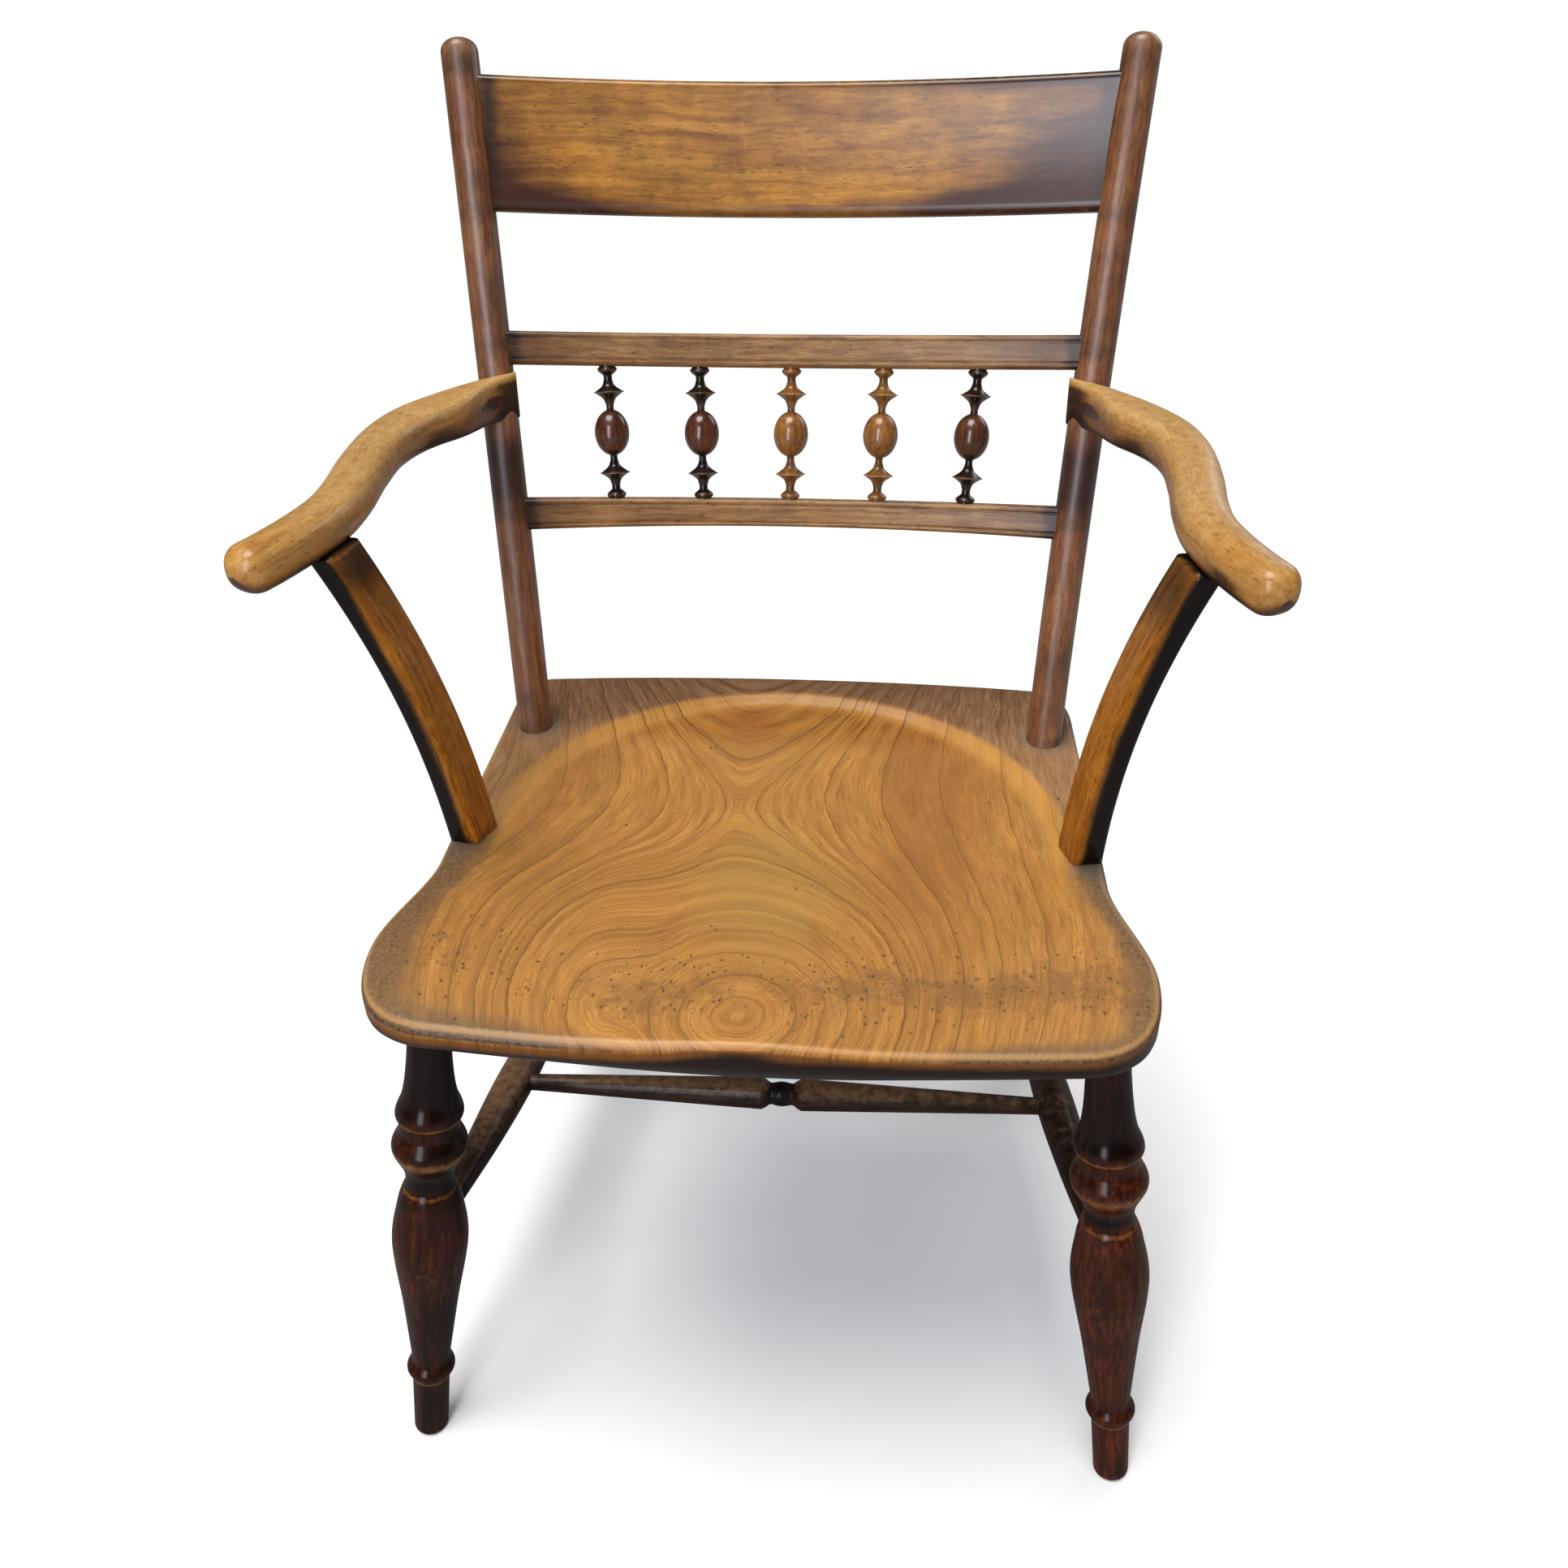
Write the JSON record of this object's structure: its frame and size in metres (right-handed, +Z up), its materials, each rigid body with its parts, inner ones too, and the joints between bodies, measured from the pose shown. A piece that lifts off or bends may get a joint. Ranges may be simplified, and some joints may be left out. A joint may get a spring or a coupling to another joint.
{
  "type": "elbow chair",
  "caption": "All-wood elbow chair with a saddled seat, turned splayed legs and stretchers, leaning back posts, a curved crest rail and turned back spindles.",
  "frame": {"origin": "on the floor, under the middle of the whole chair's box", "axes": "+Z up; the sitter faces -Y; +X is the sitter's left"},
  "size_m": [0.5422, 0.4792, 0.8934],
  "materials": {
    "elm_seat": "waxed elm, satin, worn at the front edge",
    "dark_leg": "dark stained beech, polished, worn on the rings",
    "worn_stretcher": "stained beech, worn and dull",
    "post_wood": "red-brown stained beech, satin",
    "rail_wood": "mottled brown stained beech, satin",
    "pale_arm": "honey-coloured, rubbed to a satin by hands",
    "support_wood": "golden on the inner face, near black outside, satin",
    "golden_spindle": "golden brown, polished",
    "dark_spindle": "dark stained, polished"
  },
  "bodies": {
    "root": {"seat": "elm_seat", "cross_stretcher": "worn_stretcher", "crest_rail": "rail_wood", "middle_rail": "rail_wood", "lower_rail": "rail_wood", "front_leg_left": "dark_leg", "rear_leg_left": "dark_leg", "side_stretcher_left": "worn_stretcher", "back_post_left": "post_wood", "arm_left": "pale_arm", "arm_support_left": "support_wood", "arm_peg_left": "dark_spindle", "front_leg_right": "dark_leg", "rear_leg_right": "dark_leg", "side_stretcher_right": "worn_stretcher", "back_post_right": "post_wood", "arm_right": "pale_arm", "arm_support_right": "support_wood", "arm_peg_right": "dark_spindle", "spindle_1": "dark_spindle", "spindle_2": "dark_spindle", "spindle_3": "golden_spindle", "spindle_4": "golden_spindle", "spindle_5": "dark_spindle"}
  },
  "joints": []
}
